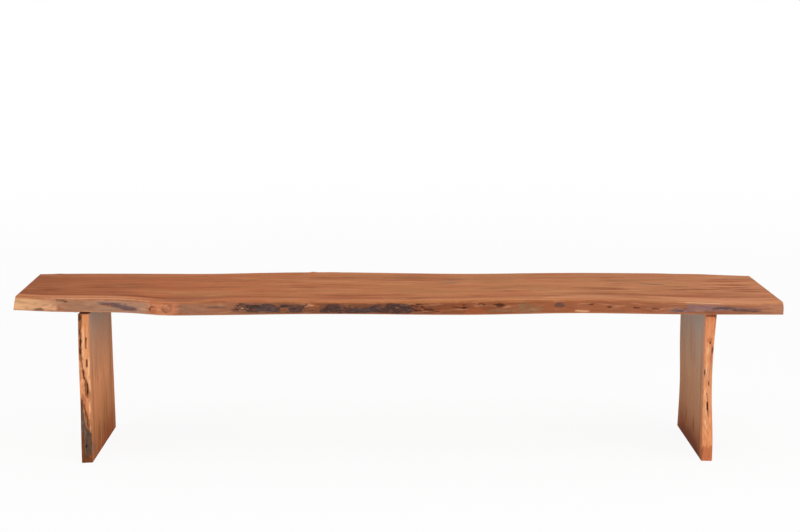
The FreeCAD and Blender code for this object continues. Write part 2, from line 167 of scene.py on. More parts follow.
def grow_slab(name, node, upright, relief, marks, rounding, knobs=(), skew=0.0):
    """A slab on the solid's own outline, its two natural edges given their relief and their marks.

    It is a tube of rings, one at each station along the grain, closed by a sawn face at both ends.
    Each point keeps how far it lies from the two arrises, and how much of each mark it carries.
    Knobs on the back edge are (place, half length, reach), all in mm. The skew is how far the front corner
    of the first end is set in, where it was sawn out of square.
    """
    low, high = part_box(node)
    grain_axis, thick_axis = (2, 0) if upright else (0, 2)
    start, end = low[grain_axis], high[grain_axis]
    under, over = low[thick_axis], high[thick_axis]
    count = round((end - start) / STATION_STEP)
    along = [lerp(start, end, i / count) for i in range(count + 1)]
    probe_along = [clamp(place, start + skew + 2 * SOLID_BEVEL, end - 2 * SOLID_BEVEL) for place in along]
    probe_through = [clamp(lerp(under, over, row), under + SOLID_BEVEL, over - SOLID_BEVEL)
                     for row in EDGE_ROWS]
    fronts, backs = natural_edges(node, upright, probe_along, probe_through)

    points = []
    values = {kind: [] for kind in ["from_front", "from_back", "edge", *marks]}
    lowest = cad_box[0][1]
    highest = cad_box[1][1]
    thickness = over - under

    def add(place, across, level, from_front, from_back, edge, worn):
        across = clamp(across, lowest, highest)
        place += skew * clamp(1 - (place - start) / SKEW_FADE) * from_back / (from_front + from_back)
        point = (level, across, place) if upright else (place, across, level)
        keep(point, from_front, from_back, edge, worn)

    def keep(point, from_front, from_back, edge, worn):
        points.append(point)
        values["from_front"].append(from_front)
        values["from_back"].append(from_back)
        values["edge"].append(edge)
        for kind in marks:
            values[kind].append(worn[kind])

    plain = dict.fromkeys(marks, 0.0)

    def rounded(row, radius_under, radius_over):
        """How far the edge draws in near its two arrises."""
        depth = 0.0
        for gap, radius in ((row * thickness, radius_under), ((1 - row) * thickness, radius_over)):
            if gap < radius:
                depth = max(depth, radius - math.sqrt(radius ** 2 - (radius - gap) ** 2))
        return depth

    for i, place in enumerate(along):
        under_round, over_round = rounding(place)
        sides = []
        for side, edges in (("front", fronts), ("back", backs)):
            way = -1 if side == "front" else 1
            out = 0.0
            if side == "back":
                out = sum(reach * MM * smooth(1 - abs(place / MM - knob) / half)
                          for knob, half, reach in knobs)
            ys = []
            for row, y in zip(EDGE_ROWS, edges[i]):
                swell = relief(side, place, row) * (.25 + .75 * math.sin(math.pi * clamp(row, .05, .95)))
                ys.append(y + way * (out + swell - rounded(row, under_round, over_round)))
            sides.append(ys)
        front, back = sides
        for row, y in zip(EDGE_ROWS, front):
            worn = {kind: mark("front", place, row) for kind, mark in marks.items()}
            on_edge = .5 if row in (0, 1) else 1
            add(place, y, lerp(under, over, row), 0, back[-1] - front[-1], on_edge, worn)

        def cross(first, last, level):
            depth = last - first
            near = NEAR_EDGE[-1]
            middle = [lerp(near, depth - near, k / MIDDLE_SPANS) for k in range(1, MIDDLE_SPANS)]
            offsets = NEAR_EDGE + middle + [depth - gap for gap in NEAR_EDGE[::-1]]
            return [(first + offset, level, offset, depth - offset) for offset in offsets]

        for y, level, gap_front, gap_back in cross(front[-1], back[-1], over):
            add(place, y, level, gap_front, gap_back, 0, plain)
        for row, y in zip(EDGE_ROWS[::-1], back[::-1]):
            worn = {kind: mark("back", place, row) for kind, mark in marks.items()}
            on_edge = .5 if row in (0, 1) else 1
            add(place, y, lerp(under, over, row), back[-1] - front[-1], 0, on_edge, worn)
        for y, level, gap_front, gap_back in cross(front[0], back[0], under)[::-1]:
            add(place, y, level, gap_front, gap_back, 0, plain)

    rows = len(EDGE_ROWS)
    columns = len(NEAR_EDGE) * 2 + MIDDLE_SPANS - 1
    ring = 2 * (rows + columns)
    faces = []
    for i in range(count):
        for k in range(ring):
            a, b = i * ring + k, i * ring + (k + 1) % ring
            faces.append((a, a + ring, b + ring, b))
    end_start = len(faces)

    for first in (0, count * ring):
        def ring_point(row, column):
            """A point of the sawn face: on its rim if it has one there, or else inside."""
            if column == 0:
                return first + row
            if column == columns + 1:
                return first + rows + columns + (rows - 1 - row)
            if row == rows - 1:
                return first + rows + column - 1
            return first + 2 * rows + columns + (columns - column)

        def inner_point(row, column):
            foot = Vector(points[ring_point(0, column)])
            head = Vector(points[ring_point(rows - 1, column)])
            keep(foot.lerp(head, EDGE_ROWS[row]), 0, 0, 0, plain)
            return len(points) - 1

        grid = []
        for row in range(rows):
            on_rim = row in (0, rows - 1)
            grid.append([ring_point(row, column) if on_rim or column in (0, columns + 1)
                         else inner_point(row, column) for column in range(columns + 2)])
        for row in range(rows - 1):
            for column in range(columns + 1):
                quad = (grid[row][column], grid[row + 1][column],
                        grid[row + 1][column + 1], grid[row][column + 1])
                faces.append(quad if first else quad[::-1])

    if upright:
        faces = [face[::-1] for face in faces]
    mesh = bpy.data.meshes.new(name)
    mesh.from_pydata(points, [], faces)
    for kind, numbers in values.items():
        mesh.attributes.new(kind, "FLOAT", "POINT").data.foreach_set("value", numbers)
    for face in mesh.polygons:
        face.use_smooth = face.index < end_start
        face.material_index = 0 if face.index < end_start else 1
    piece = bpy.data.objects.new(name, mesh)
    bpy.context.scene.collection.objects.link(piece)
    return piece


class Value:
    """A socket on its way to a shader, which takes part in sums like a number."""

    def __init__(self, finish, socket):
        self.finish = finish
        self.socket = socket

    def sum(self, operation, first, second):
        return self.finish.node("Math", {"operation": operation}, {0: first, 1: second})

    def __add__(self, other):
        return self.sum("ADD", self, other)

    def __radd__(self, other):
        return self.sum("ADD", other, self)

    def __sub__(self, other):
        return self.sum("SUBTRACT", self, other)

    def __rsub__(self, other):
        return self.sum("SUBTRACT", other, self)

    def __mul__(self, other):
        return self.sum("MULTIPLY", self, other)

    def __rmul__(self, other):
        return self.sum("MULTIPLY", other, self)

    def __truediv__(self, other):
        return self.sum("DIVIDE", self, other)

    def __pow__(self, other):
        return self.sum("POWER", self, other)


class Finish:
    """A surface finish: one material with its shader, and the nodes that vary it."""

    def __init__(self, name, **constants):
        self.material = bpy.data.materials.new(name)
        self.material.use_nodes = True
        self.tree = self.material.node_tree
        self.shader = self.tree.nodes["Principled BSDF"]
        for socket, constant in constants.items():
            self.shader.inputs[socket.replace("_", " ")].default_value = constant

    def feed(self, socket, value):
        if isinstance(value, Value):
            self.tree.links.new(value.socket, socket)
        else:
            socket.default_value = value

    def node(self, kind, settings=None, sockets=None, output=0):
        """Adds a node: its settings first, then what its sockets hold or are linked to."""
        made = self.tree.nodes.new("ShaderNode" + kind)
        for setting, choice in (settings or {}).items():
            if setting == "stops":
                ramp = made.color_ramp.elements
                while len(ramp) < len(choice):
                    ramp.new(1)
                for element, (position, colour) in zip(ramp, choice):
                    element.position = position
                    element.color = colour
            else:
                setattr(made, setting, choice)
        for socket, value in (sockets or {}).items():
            self.feed(made.inputs[socket], value)
        return Value(self, made.outputs[output])

    def attribute(self, name):
        return self.node("Attribute", {"attribute_name": name}, output="Fac")

    def vector(self, x, y, z):
        return self.node("CombineXYZ", None, {0: x, 1: y, 2: z})

    def grain(self, vector, scale, detail=3, roughness=.55):
        return self.node("TexNoise", None, {"Vector": vector, "Scale": scale, "Detail": detail,
                                            "Roughness": roughness})

    def mix(self, low, high, share):
        return self.node("Mix", {"data_type": "RGBA"}, {0: share, 6: low, 7: high}, output=2)

    def window(self, value, low, high):
        """0 at low, 1 at high, eased between."""
        settings = {"interpolation_type": "SMOOTHSTEP"}
        return self.node("MapRange", settings, {0: value, 1: low, 2: high})

    def ridge(self, value, centre, half_width):
        """1 at the centre, easing to 0 half a width away on both sides."""
        gap = self.node("Math", {"operation": "ABSOLUTE"}, {0: value - centre})
        return 1 - self.window(gap, 0, half_width)

    def lay(self, **channels):
        for socket, value in channels.items():
            self.feed(self.shader.inputs[socket.replace("_", " ")], value)


def tint(red, green, blue):
    """A colour given in 0 to 255, as the eye reads it, turned into light."""
    return [(part / 255 / 12.92 if part < 11 else ((part / 255 + .055) / 1.055) ** 2.4)
            for part in (red, green, blue)] + [1]


# The marks of the front edge, placed from the photograph: outlines, then spots, then cracks.
SEAT_BARK = [
    (-446, .36, .36), (-438, .30, .45), (-427, .24, .76), (-405, .27, .80), (-392, .20, .65),
    (-370, .18, .68), (-348, .17, .77), (-331, .16, .67), (-318, .17, .50), (-310, .58, .68),
    (-290, .46, .68), (-277, .15, .66), (-255, .12, .67), (-247, .48, .72), (-236, .72, .78),
    (-233, .75, .75), (-203, .22, .22), (-200, .18, .28), (-189, .11, .50), (-179, .11, .83),
    (-165, .11, .87), (-151, .11, .83), (-143, .11, .57), (-119, .11, .50), (-97, .12, .46),
    (-75, .13, .53), (-50, .12, .73), (-37, .12, .77), (-28, .12, .45), (-17, .11, .90), (4, .11, .90),
    (18, .11, .88), (32, .11, .80), (42, .14, .68), (49, .24, .56), (55, .40, .40),
]
SEAT_DUSK = [
    [(-823, .76, .78), (-801, .64, .80), (-774, .44, .72), (-746, .30, .62), (-719, .20, .50),
     (-703, .24, .40), (-691, .32, .32)],
    [(750, .35, .35), (755, .26, .50), (777, .20, .50), (795, .20, .44), (804, .3, .3)],
    [(780, .25, .25), (788, .20, .42), (798, .22, .66), (808, .24, .90), (818, .26, 1.05),
     (837, .28, 1.1), (866, .30, 1.1), (884, .38, .98), (900, .42, .80), (925, .44, .68),
     (960, .40, .58), (1000, .40, .46), (1010, .43, .43)],
]
SEAT_OLIVE = [
    [(340, .40, .40), (344, .10, .80), (367, .10, .78), (389, .12, .62), (403, .18, .5), (411, .4, .4)],
    [(255, .30, .30), (280, .20, .42), (330, .16, .46), (344, .3, .3)],
]
SEAT_WEATHERED = [
    [(-382, .3, .3), (-370, .20, .62), (-344, .18, .66), (-328, .22, .55), (-318, .4, .4)],
    [(-128, .3, .3), (-110, .14, .46), (-70, .14, .50), (-45, .3, .3)],
]
SEAT_SHADE = [
    [(-818, .66, .70), (-800, .56, .72), (-779, .45, .70), (-744, .24, .58), (-722, .18, .50),
     (-709, .20, .42), (-702, .3, .3)],
    [(753, .34, .34), (761, .26, .44), (790, .22, .38), (802, .3, .3)],
    [(865, .52, .52), (885, .46, .76), (910, .48, .74), (930, .52, .62), (935, .56, .56)],
    [(920, .5, .5), (927, .40, .58), (960, .32, .48), (995, .30, .42), (1005, .35, .35)],
    [(-515, .56, .56), (-503, .52, .62), (-465, .52, .60), (-457, .56, .56)],
    [(440, .60, .60), (445, .48, .72), (456, .42, .80), (466, .44, .72), (472, .55, .55)],
    [(-937, .86, .86), (-932, .79, .91), (-917, .80, .90), (-913, .85, .85)],
    [(-914, .77, .77), (-911, .71, .84), (-903, .69, .79), (-898, .74, .74)],
    [(-1004, .08, .08), (-994, .02, .18), (-977, .02, .28), (-966, .10, .10)],
]
SEAT_KNOT = [
    (290, .66, 15, .14), (543, .63, 8, .05), (593, .46, 7, .05), (669, .46, 11, .06),
    (717, .40, 12, .05), (-948, .05, 7, .06), (-667, .36, 3, .12), (68, .76, 8, .05),
    (193, .50, 8, .08),
]
SEAT_RED = [
    (-222, .66, 20, .20), (220, .26, 30, .26), (-924, .26, 7, .28), (875, .10, 44, .10),
    (-657, .40, 10, .4), (-587, .10, 20, .12),
]
# Partly paler wood, partly painted highlight: the top arris line and glints on the burl and left bulge.
SEAT_PALE_AND_HIGHLIGHTS = [
    (515, .18, 25, .08), (-661, .74, 9, .07), (-658, .50, 7, .07), (-640, .46, 6, .05),
    (-416, .46, 9, .10), (-401, .40, 5, .06), (-227, .72, 10, .08), (-960, .26, 14, .16),
    (-951, .46, 9, .14), (-938, .24, 12, .18), (-832, .97, 170, .07), (840, .98, 60, .07),
]
SEAT_CRACKS = [
    (52, .46, 62, .26, 1.6), (76, .62, 88, .42, 1.5), (84, .44, 112, .28, 2.0),
    (116, .26, 126, .24, 1.1), (159, .58, 175, .57, 1.0), (173, .56, 189, .50, 1.6),
    (187, .50, 204, .51, 2.0), (189, .68, 198, .72, 1.3), (48, .72, 64, .58, 1.2),
    (60, .36, 74, .30, 1.4), (97, .50, 108, .36, 1.2), (-934, .88, -919, .85, 1.2),
    (-921, .84, -902, .74, 1.3), (-668, .78, -659, .70, .8), (-665, .58, -652, .55, .8),
    (192, .28, 195, .36, 1.1), (232, .72, 238, .82, 1.5), (238, .82, 251, .68, 1.9),
    (273, .68, 307, .66, 1.2),
]
BURL_CENTRE = -617 * MM
BURL_HALF = 13 * MM
BURL_LEVEL = .56
BURL_HALF_HEIGHT = .34
BURL_SWELL = [(-623, .5, 44, .9)]
LEFT_SWELL = [(-940, .40, 18, .5)]
HOLLOW_PLACE = 850 * MM
HOLLOW_HALF = 70 * MM
ROLL_START = 905 * MM
ROLL_LENGTH = 100 * MM
SEAT_ARRIS = 2.5 * MM
WORN_BARK_END = -385 * MM
BARK_START = -455 * MM
BARK_END = 135 * MM
seat_low, seat_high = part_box("seat_slab")
SEAT_THICKNESS = seat_high.z - seat_low.z


def burl_ring(place, row):
    """How strongly the worn rim of the knot shows that the burl has grown around."""
    run = (place - BURL_CENTRE) / BURL_HALF
    rise = (row - BURL_LEVEL) / BURL_HALF_HEIGHT
    wobble = .30 * noise.noise(Vector((run * 1.3, rise * 1.3, 4)))
    broken = clamp(.62 + .9 * noise.noise(Vector((run * 1.1, rise * 1.1, 17))))
    outer = math.exp(-((math.hypot(run, rise) + wobble - 1) / .15) ** 2)
    inner = .5 * math.exp(-((math.hypot(run - .1, rise) + wobble - .5) / .16) ** 2)
    return broken * max(outer, inner)


def seat_relief(side, place, row):
    """How far the natural edge stands out, in metres: long ripples along the grain, hollows and knots."""
    relief = 1.5 * noise.noise(Vector((place * 14, row * 1.6, 3 if side == "front" else 9)))
    relief += .5 * noise.noise(Vector((place * 60, row * 8, 5)))
    if side == "front":
        relief -= 2.0 * line(SEAT_CRACKS, place, row, SEAT_THICKNESS)
        relief -= 1.8 * patch(SEAT_KNOT, place, row)
        scales = 1.4 * noise.noise(Vector((place * 150, row * 9, 7))) - .6
        relief += band(SEAT_BARK, place, row) * scales
        relief -= 3.0 * band(SEAT_DUSK[2], place, row) + 1.2 * band(SEAT_DUSK[0], place, row)
        relief += 3.0 * patch(BURL_SWELL, place, row) - 2.2 * burl_ring(place, row)
        relief += 2.5 * patch(LEFT_SWELL, place, row)
    return relief * MM


def seat_rounding(place):
    """Radius of the lower and the upper arris: the sapwood rolls over at the hollow and the right end."""
    hollow = smooth(1 - abs(place - HOLLOW_PLACE) / HOLLOW_HALF)
    right_end = smooth((place - ROLL_START) / ROLL_LENGTH)
    return SEAT_ARRIS, lerp(3, 9, max(.7 * hollow, right_end)) * MM


def on_front(*measures):
    """The strongest of some measures of a mark on the front edge; the back edge is plain."""
    return lambda side, place, row: max(m(place, row) for m in measures) if side == "front" else 0.0


def spots(marks):
    return lambda place, row: patch(marks, place, row)


def bands(outlines):
    return lambda place, row: max((band(outline, place, row) for outline in outlines), default=0.0)


def cracks(marks, edge_height, depth=1.0):
    return lambda place, row: depth * line(marks, place, row, edge_height)


def bark_cover(place, row):
    """The bark patches: worn through in specks at their left end."""
    worn = smooth((WORN_BARK_END - place) / (30 * MM))
    speck = smooth((noise.noise(Vector((place * 170, row * 13, 21))) + .02) / .16)
    return band(SEAT_BARK, place, row) * (1 - .8 * worn * speck)


def bark_remnants(place, row):
    """Flecks of bark left in the pores between the larger patches."""
    zone = smooth((place - BARK_START) / (50 * MM)) * smooth((BARK_END - place) / (60 * MM))
    zone *= smooth((.86 - row) / .2) * smooth((row - .08) / .1)
    fleck = noise.noise(Vector((place * 120, row * 8, 55)))
    fleck += .5 * noise.noise(Vector((place * 300, row * 16, 8)))
    return zone * smooth((fleck - .30) / .16)


seat_marks = {
    "bark": on_front(bark_cover, bark_remnants),
    "dusk": on_front(bands(SEAT_DUSK)),
    "olive": on_front(bands(SEAT_OLIVE)),
    "weathered": on_front(bands(SEAT_WEATHERED)),
    "shade": on_front(bands(SEAT_SHADE), burl_ring),
    "knot": on_front(spots(SEAT_KNOT)),
    "red": on_front(spots(SEAT_RED)),
    "pale": on_front(spots(SEAT_PALE_AND_HIGHLIGHTS)),
    "crack": on_front(cracks(SEAT_CRACKS, SEAT_THICKNESS)),
}
SEAT_KNOBS = [(-243, 16, 10), (-1008, 24, 5), (-190, 40, 3)]
LEFT_END_SKEW = 10 * MM
seat = grow_slab("seat_slab_wood", "seat_slab", upright=False, relief=seat_relief, marks=seat_marks,
                 rounding=seat_rounding, knobs=SEAT_KNOBS, skew=LEFT_END_SKEW)
GRAIN_START = .25
GRAIN_OFFSET = 80 * MM
DARK_GRAIN = tint(122, 60, 32)
LIGHT_GRAIN = tint(210, 142, 92)
RED_GRAIN = tint(182, 100, 66)
DULL_GRAIN = tint(164, 116, 72)
HEARTWOOD = tint(128, 62, 36)
SAPWOOD = tint(212, 140, 94)
BACK_SAPWOOD = tint(200, 128, 84)
DARK_PORE = tint(78, 40, 24)
RED_EDGE = tint(160, 84, 52)
OLIVE_EDGE = tint(126, 102, 76)
DARK_LAYER = tint(104, 58, 40)
LIGHT_LAYER = tint(224, 162, 120)
RED_BLOTCH = tint(168, 92, 60)
DULL_BLOTCH = tint(112, 74, 58)
DARK_BARK = (66, 48, 45)
RED_BARK = tint(106, 60, 44)
GREY_BARK = tint(86, 72, 71)
KNOT_BROWN = tint(70, 36, 26)
CRACK_BROWN = tint(60, 34, 27)
LIT_UNDERSIDE = tint(196, 132, 96)
# Painted highlight along the arrises, and a brighter one where a pale mark meets them.
ARRIS_HIGHLIGHT = tint(224, 166, 122)
BRIGHT_ARRIS_HIGHLIGHT = tint(242, 196, 162)
END_PORE = tint(84, 48, 34)


def timber(name, node, upright, face_tones, edge_tones, streaks, contrast, pale_and_highlight_tone, sapwood=55 * MM,
           bark_tones=(DARK_BARK, (126, 92, 80)), dusk_tone=(138, 110, 111), shade_tone=(82, 65, 63),
           calm_from=None, lit_edge=False, sap_shares=((0, .45), (1, .45))):
    """Lacquered wood whose grain follows the slab: figured faces, and natural edges with their marks.

    Tones are (share of the slab's length, colour). Streaks are strokes of colour on the faces, each given
    as (place along the slab, place in from the front, half length, half width, colour, strength), in mm.
    """
    low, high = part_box(node)
    grain_axis = 2 if upright else 0
    start, end = low[grain_axis], high[grain_axis]
    wood = Finish(name, Specular_IOR_Level=.01)
    place = wood.node("TexCoord", output="Object")
    axes = wood.node("SeparateXYZ", None, {0: place})
    parts = [Value(wood, axes.socket.node.outputs[k]) for k in range(3)]
    along = parts[grain_axis]
    through = parts[2 - grain_axis]
    from_front = wood.attribute("from_front")
    from_back = wood.attribute("from_back")
    edge = wood.attribute("edge")

    follows = from_front - GRAIN_START * (from_front + from_back)
    straight = parts[1] + GRAIN_OFFSET
    inward = .8 * wood.window(from_front, 30 * MM, 240 * MM)
    across = follows * (1 - inward) + straight * inward
    drift = wood.grain(wood.vector(along * 1.4, across * 4, through), 1.0, 2) - .5
    strand = across + .06 * drift
    figure = wood.grain(wood.vector(along * 1.5, strand * 15, through * 12), 1.0, 3)
    streak = wood.grain(wood.vector(along * 6, strand * 52, through * 60), 1.0, 4, .6)
    hue = wood.grain(wood.vector(along * 4.5, strand * 13, through * 20 + 7), 1.0, 3)
    fibre = wood.grain(wood.vector(along * 14, strand * 320, through * 240), 1.0, 4, .65)
    pore = wood.grain(wood.vector(along * 45, strand * 1500, through * 1100), 1.0, 2)
    sway = strand + .030 * figure + .012 * hue + .5 * through
    ring = wood.node("Math", {"operation": "SINE"}, {0: 520 * sway + 3 * streak})

    share = (along - start) / (end - start)
    # Calming the grain towards the top paints the haze of reflection on the legs' upper faces.
    if calm_from:
        contrast = contrast * (1 - .75 * wood.window(share, calm_from, 1))
    stops = [(position, tint(*colour)) for position, colour in face_tones]
    face = wood.node("ValToRGB", {"stops": stops}, {0: share})
    face = wood.mix(face, RED_GRAIN, .5 * contrast * wood.window(hue, .50, .66))
    face = wood.mix(face, DULL_GRAIN, .5 * contrast * wood.window(hue, .48, .32))
    face = wood.mix(face, DARK_GRAIN, .44 * contrast * wood.window(figure, .50, .70))
    face = wood.mix(face, LIGHT_GRAIN, .38 * contrast * wood.window(figure, .48, .30))
    stir = wood.grain(wood.vector(along * 3.2, strand * 9, through * 5 + 3), 1.0, 2)
    lively = .35 + 1.15 * wood.window(stir, .40, .64)
    face = wood.mix(face, DARK_GRAIN, .54 * contrast * lively * wood.window(streak, .52, .66))
    face = wood.mix(face, LIGHT_GRAIN, .46 * contrast * lively * wood.window(streak, .47, .34))
    face = wood.mix(face, DARK_GRAIN, .30 * contrast * wood.window(ring, .45, 1.0) * (.3 + 1.2 * streak))
    face = wood.mix(face, DARK_GRAIN, .40 * contrast * wood.window(fibre, .50, .68))
    face = wood.mix(face, LIGHT_GRAIN, .22 * wood.window(fibre, .46, .30))
    boundary = from_front + .016 * drift + .016 * (figure - .5)
    heart = .45 * (1 - .85 * wood.window(share, .55, .75)) * (.3 + 1.3 * hue)
    face = wood.mix(face, HEARTWOOD, heart * wood.ridge(boundary, sapwood, .020))
    stops = [(position, (strength, strength, strength, 1)) for position, strength in sap_shares]
    sap = wood.node("ValToRGB", {"stops": stops}, {0: share})
    face = wood.mix(face, SAPWOOD, sap * wood.ridge(boundary, sapwood * .42, .028))
    face = wood.mix(face, BACK_SAPWOOD, .35 * wood.ridge(from_back + .01 * drift, .02, .024))
    face = wood.mix(face, DARK_PORE, .55 * wood.window(pore, .60, .70))
    for centre, level, half_run, half_width, colour, strength in streaks:
        run = (along - centre * MM) / (half_run * MM)
        rise = (boundary - level * MM) / (half_width * MM)
        gap = (run * run + rise * rise) ** .5 + 1.1 * (streak - .5)
        face = wood.mix(face, tint(*colour), strength * (1 - wood.window(gap, .25, 1)))

    stops = [(position, tint(*colour)) for position, colour in edge_tones]
    bare = wood.node("ValToRGB", {"stops": stops}, {0: share})
    wave = .02 * (wood.grain(wood.vector(along * 8, 0, through * 20), 1.0, 2) - .5)
    layer = wood.grain(wood.vector(along * 14, from_front, (through + wave) * 190), 1.0, 4, .6)
    blotch = wood.grain(wood.vector(along * 26, 0, (through + wave) * 110), 1.0, 4, .6)
    soft = .5 + blotch
    mottle = wood.window(blotch, .36, .60)
    # Pale marks: paler wood, and in part painted highlights and glints.
    bare = wood.mix(bare, tint(*pale_and_highlight_tone), .58 * wood.attribute("pale") * soft)
    bare = wood.mix(bare, RED_EDGE, .50 * wood.attribute("red") * soft)
    bare = wood.mix(bare, OLIVE_EDGE, wood.attribute("olive") * (.25 + .40 * mottle))
    bare = wood.mix(bare, tint(*dusk_tone), wood.attribute("dusk") * (.40 + .50 * mottle))
    bare = wood.mix(bare, tint(*shade_tone), .75 * wood.attribute("shade") * soft)
    bare = wood.mix(bare, DARK_LAYER, .48 * wood.window(layer, .50, .72))
    bare = wood.mix(bare, LIGHT_LAYER, .36 * wood.window(layer, .48, .30))
    bare = wood.mix(bare, RED_BLOTCH, .34 * wood.window(blotch, .52, .70))
    bare = wood.mix(bare, DULL_BLOTCH, .34 * wood.window(blotch, .46, .30))
    flake = wood.grain(wood.vector(along * 40, from_front, through * 200), 1.0, 4, .65)
    bark_tone = wood.mix(tint(*bark_tones[0]), tint(*bark_tones[1]), wood.window(flake, .44, .74))
    bark_tone = wood.mix(bark_tone, RED_BARK, .6 * wood.window(blotch, .52, .66))
    bark_tone = wood.mix(bark_tone, GREY_BARK, .65 * wood.attribute("weathered"))
    bark = wood.attribute("bark")
    bare = wood.mix(bare, bark_tone, .93 * bark)
    bare = wood.mix(bare, KNOT_BROWN, .8 * wood.attribute("knot"))
    bare = wood.mix(bare, CRACK_BROWN, .8 * wood.attribute("crack"))

    # A lit edge gets a painted highlight along its lower arris, where light from the floor catches it, and
    # the top face's colour over its upper arris.
    if lit_edge:
        under, over = low.z + 1 * MM, high.z - 1 * MM
        bare = wood.mix(bare, LIT_UNDERSIDE, .60 * wood.ridge(through, under, 3.5 * MM) * soft)
        bare = wood.mix(bare, face, .75 * wood.window(through, over - 7 * MM, over))

    colour = wood.mix(face, bare, wood.window(edge, .35, .9))
    # A painted highlight along the arrises, brighter where a pale mark meets them.
    rim = wood.ridge(edge, .5, .45)
    colour = wood.mix(colour, ARRIS_HIGHLIGHT, .45 * rim * wood.window(figure, .40, .60))
    colour = wood.mix(colour, BRIGHT_ARRIS_HIGHLIGHT, .85 * rim * wood.attribute("pale"))
    roughness = .52 + .16 * (streak - .5) + .22 * bark + .08 * edge
    rough_edge = 1.2 * layer + .7 * blotch + 1.2 * bark * flake
    height = .4 * fibre - .3 * wood.window(pore, .58, .70) + edge * rough_edge
    relief = wood.node("Bump", None, {"Strength": .45, "Distance": 1.2 * MM, "Height": height})
    wood.lay(Base_Color=colour, Roughness=roughness, Normal=relief)
    return wood.material


def end_grain(name, centre, heart, sap):
    """Sawn end grain: growth rings about a pith that lies outside the slab, with fine open pores."""
    wood = Finish(name, Specular_IOR_Level=.05)
    place = wood.node("TexCoord", output="Object")
    off_pith = wood.node("VectorMath", {"operation": "SUBTRACT"}, {0: place, 1: centre})
    warp = wood.grain(place, 14, 3)
    distance = wood.node("VectorMath", {"operation": "LENGTH"}, {0: off_pith}, output="Value")
    ring = wood.node("Math", {"operation": "SINE"}, {0: 1500 * (distance + .016 * warp)})
    years = wood.grain(wood.vector(distance * 160 + warp, 0, 0), 1.0, 3)
    tone = wood.mix(tint(*heart), tint(*sap), .5 + .13 * ring + 1.1 * (years - .5))
    speck = wood.grain(place, 900, 2)
    tone = wood.mix(tone, END_PORE, .5 * wood.window(speck, .56, .74))
    bump = wood.node("Bump", None, {"Strength": .3, "Distance": .5 * MM, "Height": .5 * ring + speck})
    wood.lay(Base_Color=tone, Roughness=.55 + .2 * (speck - .5), Normal=bump)
    return wood.material


SEAT_TOP_TONES = [
    (0, (156, 86, 47)), (.2, (182, 104, 61)), (.5, (188, 118, 73)), (.75, (184, 118, 76)),
    (1, (192, 124, 85)),
]
SEAT_EDGE_TONES = [
    (0, (217, 165, 121)), (.02, (215, 164, 120)), (.055, (186, 136, 104)), (.072, (160, 114, 88)),
    (.09, (157, 112, 86)), (.14, (162, 123, 99)), (.18, (166, 124, 100)), (.188, (190, 118, 82)),
    (.22, (188, 120, 84)), (.226, (145, 101, 79)), (.27, (151, 100, 74)), (.36, (120, 77, 56)),
    (.52, (116, 69, 47)), (.58, (128, 73, 47)), (.70, (146, 86, 57)), (.82, (148, 90, 62)),
    (.92, (152, 98, 74)), (1, (168, 114, 86)),
]
GREY_STROKE = (104, 84, 74)
BROWN_STROKE = (116, 64, 42)
PALE_STROKE = (208, 142, 102)
SEAT_STREAKS = [
    (-585, 50, 95, 70, (146, 84, 54), .6), (-800, 100, 110, 28, (134, 74, 46), .5),
    (870, 50, 240, 55, PALE_STROKE, .55), (560, 45, 160, 40, PALE_STROKE, .4),
    (-795, 92, 14, 6, BROWN_STROKE, .8), (-740, 70, 60, 7, BROWN_STROKE, .6),
    (-775, 345, 40, 8, BROWN_STROKE, .5), (-210, 400, 8, 12, GREY_STROKE, .8),
    (-135, 400, 36, 8, BROWN_STROKE, .6), (180, 345, 50, 13, GREY_STROKE, .8),
    (165, 290, 44, 11, GREY_STROKE, .7), (645, 300, 55, 8, BROWN_STROKE, .7),
    (655, 255, 45, 8, BROWN_STROKE, .6), (750, 270, 58, 12, GREY_STROKE, .8),
    (990, 250, 50, 9, BROWN_STROKE, .6), (-223, 488, 14, 9, GREY_STROKE, .9),
]
SEAT_SAP = [
    (0, .78), (.15, .75), (.19, .08), (.24, .10), (.4, .18), (.55, .20), (.7, .42), (1, .55),
]
seat_wood = timber("seat_lacquered_wood", "seat_slab", upright=False, face_tones=SEAT_TOP_TONES,
                   edge_tones=SEAT_EDGE_TONES, streaks=SEAT_STREAKS, contrast=.88,
                   pale_and_highlight_tone=(222, 168, 126), lit_edge=True, sap_shares=SEAT_SAP)
SEAT_PITH = (0, 50 * MM, -350 * MM)
seat_end = end_grain("seat_end_grain", SEAT_PITH, heart=(128, 76, 50), sap=(186, 128, 90))
seat.data.materials.append(seat_wood)
seat.data.materials.append(seat_end)
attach(seat, "root")
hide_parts("seat_slab")

# Bark flakes
# Thin scales of the tree's own bark that still cling to the dark patches on the seat's front edge.
# The sander never took them off, and the lacquer holds them in place.
RIDGE_BARK = tint(112, 84, 74)
RUSTY_BARK = tint(100, 62, 48)


def bark_finish():
    """Dark, dry bark with paler weathered ridges."""
    bark = Finish("bark_flake", Specular_IOR_Level=.05)
    place = bark.node("TexCoord", output="Object")
    fine = bark.grain(place, 420, 4, .6)
    broad = bark.grain(place, 60, 2)
    tone = bark.mix(tint(*DARK_BARK), RIDGE_BARK, bark.window(fine, .46, .72))
    tone = bark.mix(tone, RUSTY_BARK, .5 * bark.window(broad, .52, .66))
    bump = bark.node("Bump", None, {"Strength": .5, "Distance": .5 * MM, "Height": fine})
    bark.lay(Base_Color=tone, Roughness=.75 + .2 * (fine - .5), Normal=bump)
    return bark.material


